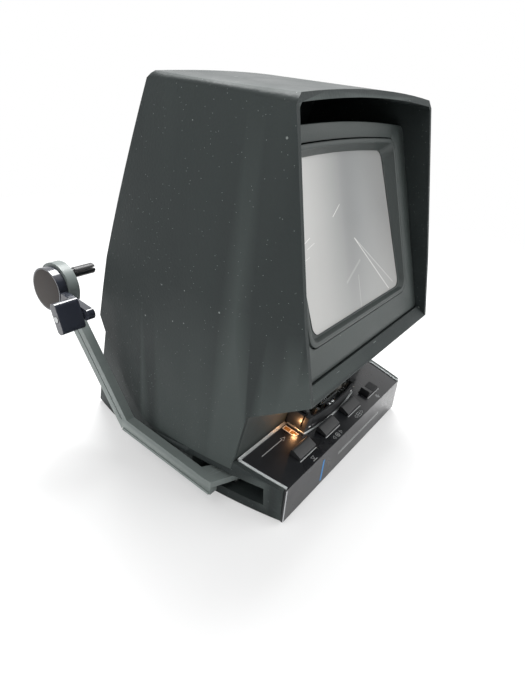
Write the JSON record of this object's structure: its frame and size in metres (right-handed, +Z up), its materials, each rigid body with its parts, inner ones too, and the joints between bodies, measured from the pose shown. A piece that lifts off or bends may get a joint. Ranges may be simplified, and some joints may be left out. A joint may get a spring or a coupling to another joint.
{
  "type": "film editor viewer",
  "caption": "Tabletop film viewer: a deep hooded screen over a sloped control panel with a film block, and a folding geared rewind arm at each side.",
  "frame": {"origin": "on the surface the feet stand on, under the middle of the whole part with its arms folded", "axes": "+X to the right of a person facing the screen, +Y from the screen to the back, +Z up"},
  "size_m": [0.2868, 0.228, 0.2716],
  "materials": {
    "shell": "fine leather grain",
    "inner_shell": "smooth satin",
    "fascia": "polished",
    "trim": "bright, reeded",
    "amber": "clear",
    "screen": "fine ground",
    "mirror": "polished",
    "bracket": "satin black",
    "glass": "clear",
    "lamp_glass": "clear",
    "ceramic": "unglazed",
    "steel": "bright",
    "brass": "turned",
    "rubber": "moulded",
    "black_plastic": "satin",
    "navy_plastic": "smooth",
    "white_plastic": "smooth",
    "core": "varnished laminations"
  },
  "bodies": {
    "base": {"base_housing": "shell", "base_plate": "bracket", "rubber_feet": "rubber", "base_screws": "steel", "fascia_panel": "fascia", "trim_frame": "trim", "window_lenses": "amber", "hood_shell": "shell", "rear_cover": "shell", "rear_screws": "steel", "throat_panel": "inner_shell", "screen_mask": "inner_shell", "screen_bezel": "inner_shell", "viewing_screen": "screen", "screen_clips": "steel", "large_mirror": "mirror", "large_mirror_bracket": "bracket", "small_mirror": "mirror", "small_mirror_bracket": "bracket", "lens_mount": "black_plastic", "lamp_house": "steel", "lamp": "lamp_glass", "lamp_socket": "ceramic", "condenser_lens": "glass", "film_gate": "black_plastic", "gate_rails": "steel", "flap_pin": "steel", "roller_pins": "steel", "mark_spring": "steel", "switch_body": "black_plastic", "transformer": "core", "mains_inlet": "black_plastic", "arm_hinge_pins": "steel"},
    "left_arm": {"left_arm": "shell", "left_bushes": "brass", "left_crank_axle": "steel"},
    "right_arm": {"right_arm": "shell", "right_bushes": "brass", "right_crank_axle": "steel"},
    "left_crank": {"left_crank": "navy_plastic", "left_grip_rivet": "steel"},
    "right_crank": {"right_crank": "navy_plastic", "right_grip_rivet": "steel"},
    "left_spindle": {"left_spindle": "black_plastic"},
    "right_spindle": {"right_spindle": "black_plastic"},
    "left_grip": {"left_grip": "navy_plastic"},
    "right_grip": {"right_grip": "navy_plastic"},
    "mark_button": {"mark_button": "black_plastic", "mark_punch": "steel"},
    "focus_slider": {"focus_slider": "black_plastic"},
    "lens": {"lens_barrel": "black_plastic", "lens_glass": "glass"},
    "frame_slider": {"frame_slider": "black_plastic"},
    "lamp_rocker": {"lamp_rocker": "black_plastic"},
    "format_button": {"format_button": "black_plastic"},
    "gate_flap": {"gate_flap": "black_plastic"},
    "sprocket": {"sprocket": "white_plastic"},
    "prism": {"prism": "glass"},
    "left_guide_roller": {"left_guide_roller": "white_plastic"},
    "right_guide_roller": {"right_guide_roller": "white_plastic"}
  },
  "joints": [
    {"name": "left_arm_swing", "type": "hinge", "parent": "base", "child": "left_arm", "pos_m": [-0.0905, -0.06, 0.0215], "axis": [0, 0, 1], "range_deg": [0, 90]},
    {"name": "left_crank_turn", "type": "hinge", "parent": "left_arm", "child": "left_crank", "pos_m": [-0.1204, 0.09612, 0.12154], "axis": [1, 0, 0], "continuous": true},
    {"name": "left_spindle_turn", "type": "hinge", "parent": "left_arm", "child": "left_spindle", "pos_m": [-0.113, 0.09612, 0.12874], "axis": [1, 0, 0], "continuous": true},
    {"name": "left_grip_spin", "type": "hinge", "parent": "left_crank", "child": "left_grip", "pos_m": [-0.1334, 0.05898, 0.11565], "axis": [1, 0, 0], "continuous": true},
    {"name": "right_arm_swing", "type": "hinge", "parent": "base", "child": "right_arm", "pos_m": [0.0905, -0.06, 0.0215], "axis": [0, 0, -1], "range_deg": [0, 90]},
    {"name": "right_crank_turn", "type": "hinge", "parent": "right_arm", "child": "right_crank", "pos_m": [0.1204, 0.09612, 0.12154], "axis": [1, 0, 0], "continuous": true},
    {"name": "right_spindle_turn", "type": "hinge", "parent": "right_arm", "child": "right_spindle", "pos_m": [0.113, 0.09612, 0.12874], "axis": [1, 0, 0], "continuous": true},
    {"name": "right_grip_spin", "type": "hinge", "parent": "right_crank", "child": "right_grip", "pos_m": [0.1334, 0.05898, 0.11565], "axis": [1, 0, 0], "continuous": true},
    {"name": "mark_press", "type": "slide", "parent": "base", "child": "mark_button", "axis": [0, 0.1908, -0.9816], "range_m": [0, 0.002], "stiffness_N_per_m": 300, "springref_m": -0.001, "deforming": ["mark_spring"]},
    {"name": "focus_slide", "type": "slide", "parent": "base", "child": "focus_slider", "axis": [1, 0, 0], "range_m": [-0.005, 0.005]},
    {"name": "lens_travel", "type": "slide", "parent": "base", "child": "lens", "axis": [0, 0.9816, 0.1908], "range_m": [-0.0016, 0.0016]},
    {"name": "frame_slide", "type": "slide", "parent": "base", "child": "frame_slider", "axis": [1, 0, 0], "range_m": [-0.005, 0.005]},
    {"name": "lamp_rock", "type": "hinge", "parent": "base", "child": "lamp_rocker", "pos_m": [0.0555, -0.09153, 0.03086], "axis": [0, -0.9816, -0.1908], "range_deg": [0, 16]},
    {"name": "format_push", "type": "slide", "parent": "base", "child": "format_button", "axis": [0, 0.1908, -0.9816], "range_m": [0, 0.0015]},
    {"name": "flap_open", "type": "hinge", "parent": "base", "child": "gate_flap", "pos_m": [0, -0.08425, 0.03951], "axis": [1, 0, 0], "range_deg": [0, 28]},
    {"name": "sprocket_turn", "type": "hinge", "parent": "base", "child": "sprocket", "pos_m": [0.0192, -0.07257, 0.04392], "axis": [0, -0.1908, 0.9816], "continuous": true},
    {"name": "prism_turn", "type": "hinge", "parent": "base", "child": "prism", "pos_m": [0, -0.07257, 0.04392], "axis": [0, -0.1908, 0.9816], "continuous": true},
    {"name": "left_roller_spin", "type": "hinge", "parent": "base", "child": "left_guide_roller", "pos_m": [-0.0301, -0.07797, 0.04287], "axis": [0, -0.1908, 0.9816], "continuous": true},
    {"name": "right_roller_spin", "type": "hinge", "parent": "base", "child": "right_guide_roller", "pos_m": [0.0301, -0.07797, 0.04287], "axis": [0, -0.1908, 0.9816], "continuous": true}
  ],
  "couplings": [
    {"joint": "left_spindle_turn", "follows": "left_crank_turn", "ratio": 2.8},
    {"joint": "right_spindle_turn", "follows": "right_crank_turn", "ratio": 2.8},
    {"joint": "lens_travel", "follows": "focus_slide", "ratio": 0.3},
    {"joint": "prism_turn", "follows": "sprocket_turn", "ratio": -3}
  ]
}
